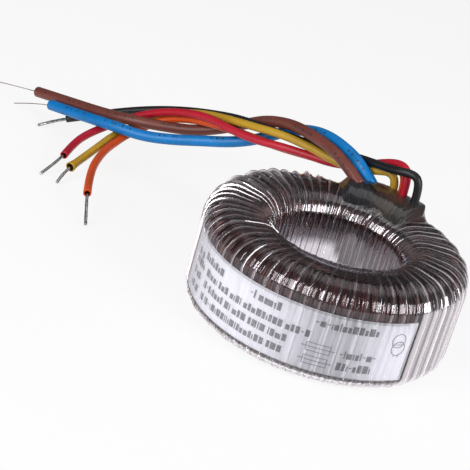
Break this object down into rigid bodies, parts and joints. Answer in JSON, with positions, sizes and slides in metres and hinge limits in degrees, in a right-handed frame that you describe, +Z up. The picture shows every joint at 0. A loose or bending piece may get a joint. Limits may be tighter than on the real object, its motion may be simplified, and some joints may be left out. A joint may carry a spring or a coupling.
{
  "type": "toroidal transformer",
  "caption": "Ring-shaped mains transformer wrapped in clear lapped film, with sleeved primary and secondary leads that leave its top edge and lie out to one side.",
  "frame": {"origin": "centre of the ring's flat underside, on the surface it rests on", "axes": "+Z up along the ring's axis, out of the face that the leads leave; the leads run out towards -X and +Y"},
  "size_m": [0.2025, 0.1587, 0.0528],
  "materials": {
    "wrap_film": "glossy, clear, in overlapping laps",
    "patch_film": "glossy, clear, in several folded layers",
    "core_steel": "grain-oriented silicon steel strip",
    "clear_insulation": "translucent film tape",
    "primary_copper": "fine enamelled copper wire, bulk wound",
    "secondary_copper": "enamelled copper wire",
    "label_paper": "pale grey printed strip",
    "sleeve_brown": "semi-gloss silicone or PVC sleeve",
    "sleeve_blue": "semi-gloss sleeve",
    "sleeve_black": "semi-gloss sleeve",
    "sleeve_red": "semi-gloss sleeve",
    "sleeve_yellow": "semi-gloss sleeve",
    "sleeve_orange": "semi-gloss sleeve",
    "tinned_copper": "solder-coated copper",
    "enamelled_copper": "thin enamelled copper wire"
  },
  "bodies": {
    "root": {"core": "core_steel", "core_insulation": "clear_insulation", "primary_winding": "primary_copper", "interlayer_insulation": "clear_insulation", "secondary_winding_a": "secondary_copper", "secondary_winding_b": "secondary_copper", "rating_label": "label_paper", "outer_wrap": "wrap_film", "lead_exit_patch": "patch_film", "brown_sleeve": "sleeve_brown", "blue_sleeve": "sleeve_blue", "black_sleeve": "sleeve_black", "red_sleeve": "sleeve_red", "yellow_sleeve": "sleeve_yellow", "orange_sleeve": "sleeve_orange", "brown_wire_end": "enamelled_copper", "blue_wire_end": "enamelled_copper", "black_wire_end": "tinned_copper", "red_wire_end": "tinned_copper", "yellow_wire_end": "tinned_copper", "orange_wire_end": "tinned_copper"}
  },
  "joints": []
}
